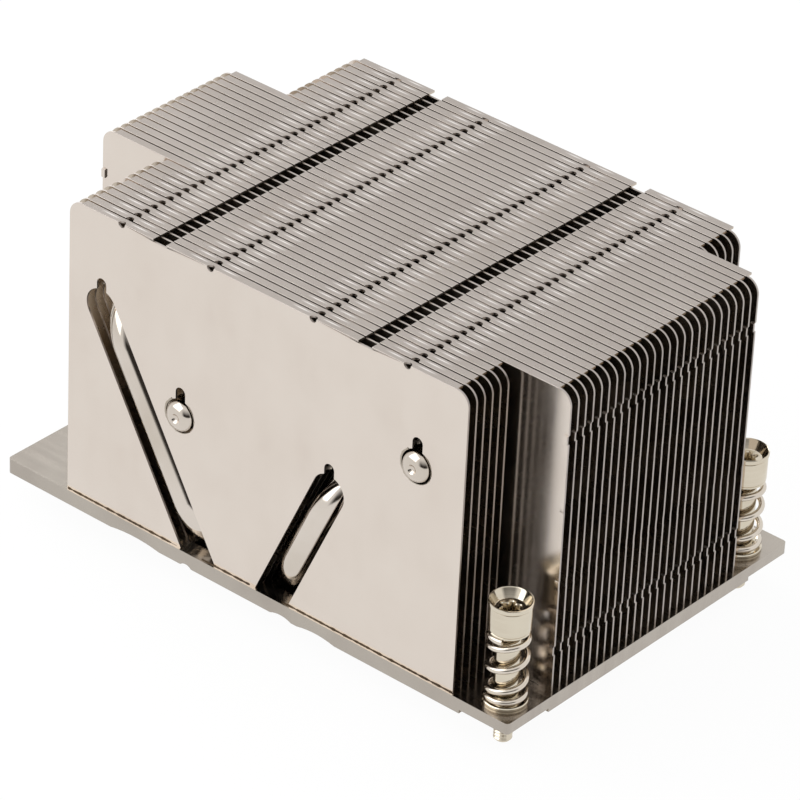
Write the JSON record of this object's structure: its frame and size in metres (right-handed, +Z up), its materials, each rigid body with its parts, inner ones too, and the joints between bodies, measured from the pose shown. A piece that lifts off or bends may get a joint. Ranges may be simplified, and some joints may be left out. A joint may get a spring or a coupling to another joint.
{
  "type": "passive server processor heatsink",
  "caption": "Tall passive heatsink: folded sheet fins on a flat plate, heat pipes through the fins, and spring-loaded captive screws at the corners.",
  "frame": {"origin": "centre of the plate's flat underside, which meets the processor", "axes": "+X along the fins towards the wide pair of screws, +Y across the fins away from the front one, +Z up"},
  "size_m": [0.12, 0.0798, 0.0695],
  "materials": {
    "plate": "nickel plated copper, milled and satin",
    "fins": "nickel plated aluminium sheet, satin",
    "pipes": "nickel plated copper, bright",
    "screws": "nickel plated steel, bright",
    "springs": "nickel plated wire, bright",
    "washers": "nickel plated steel",
    "rings": "spring steel, plain"
  },
  "bodies": {
    "heatsink": {"base_plate": "plate", "fin_01": "fins", "fin_02": "fins", "fin_03": "fins", "fin_04": "fins", "fin_05": "fins", "fin_06": "fins", "fin_07": "fins", "fin_08": "fins", "fin_09": "fins", "fin_10": "fins", "fin_11": "fins", "fin_12": "fins", "fin_13": "fins", "fin_14": "fins", "fin_15": "fins", "fin_16": "fins", "fin_17": "fins", "fin_18": "fins", "fin_19": "fins", "fin_20": "fins", "fin_21": "fins", "fin_22": "fins", "fin_23": "fins", "fin_24": "fins", "fin_25": "fins", "fin_26": "fins", "fin_27": "fins", "fin_28": "fins", "fin_29": "fins", "fin_30": "fins", "fin_31": "fins", "fin_32": "fins", "fin_33": "fins", "fin_34": "fins", "fin_35": "fins", "fin_36": "fins", "fin_37": "fins", "front_tall_pipe": "pipes", "front_short_pipe": "pipes", "rear_tall_pipe": "pipes", "rear_short_pipe": "pipes", "front_right_washer": "washers", "front_right_spring": "springs", "rear_right_washer": "washers", "rear_right_spring": "springs", "front_left_washer": "washers", "front_left_spring": "springs", "rear_left_washer": "washers", "rear_left_spring": "springs"},
    "front_right_clip": {"front_right_ring": "rings"},
    "front_right_fastener": {"front_right_screw": "screws"},
    "rear_right_clip": {"rear_right_ring": "rings"},
    "rear_right_fastener": {"rear_right_screw": "screws"},
    "front_left_clip": {"front_left_ring": "rings"},
    "front_left_fastener": {"front_left_screw": "screws"},
    "rear_left_clip": {"rear_left_ring": "rings"},
    "rear_left_fastener": {"rear_left_screw": "screws"}
  },
  "joints": [
    {"name": "front_right_press", "type": "slide", "parent": "heatsink", "child": "front_right_clip", "axis": [0, 0, 1], "range_m": [-0.004, 0], "stiffness_N_per_m": 5000, "springref_m": 0.003, "deforming": ["front_right_spring"]},
    {"name": "front_right_turn", "type": "hinge", "parent": "front_right_clip", "child": "front_right_fastener", "pos_m": [0.0546, -0.0338, 0.0004], "axis": [0, 0, 1], "continuous": true},
    {"name": "rear_right_press", "type": "slide", "parent": "heatsink", "child": "rear_right_clip", "axis": [0, 0, 1], "range_m": [-0.004, 0], "stiffness_N_per_m": 5000, "springref_m": 0.003, "deforming": ["rear_right_spring"]},
    {"name": "rear_right_turn", "type": "hinge", "parent": "rear_right_clip", "child": "rear_right_fastener", "pos_m": [0.0546, 0.0322, 0.0004], "axis": [0, 0, 1], "continuous": true},
    {"name": "front_left_press", "type": "slide", "parent": "heatsink", "child": "front_left_clip", "axis": [0, 0, 1], "range_m": [-0.004, 0], "stiffness_N_per_m": 5000, "springref_m": 0.003, "deforming": ["front_left_spring"]},
    {"name": "front_left_turn", "type": "hinge", "parent": "front_left_clip", "child": "front_left_fastener", "pos_m": [-0.0534, -0.0237, 0.0004], "axis": [0, 0, 1], "continuous": true},
    {"name": "rear_left_press", "type": "slide", "parent": "heatsink", "child": "rear_left_clip", "axis": [0, 0, 1], "range_m": [-0.004, 0], "stiffness_N_per_m": 5000, "springref_m": 0.003, "deforming": ["rear_left_spring"]},
    {"name": "rear_left_turn", "type": "hinge", "parent": "rear_left_clip", "child": "rear_left_fastener", "pos_m": [-0.0534, 0.0221, 0.0004], "axis": [0, 0, 1], "continuous": true}
  ]
}
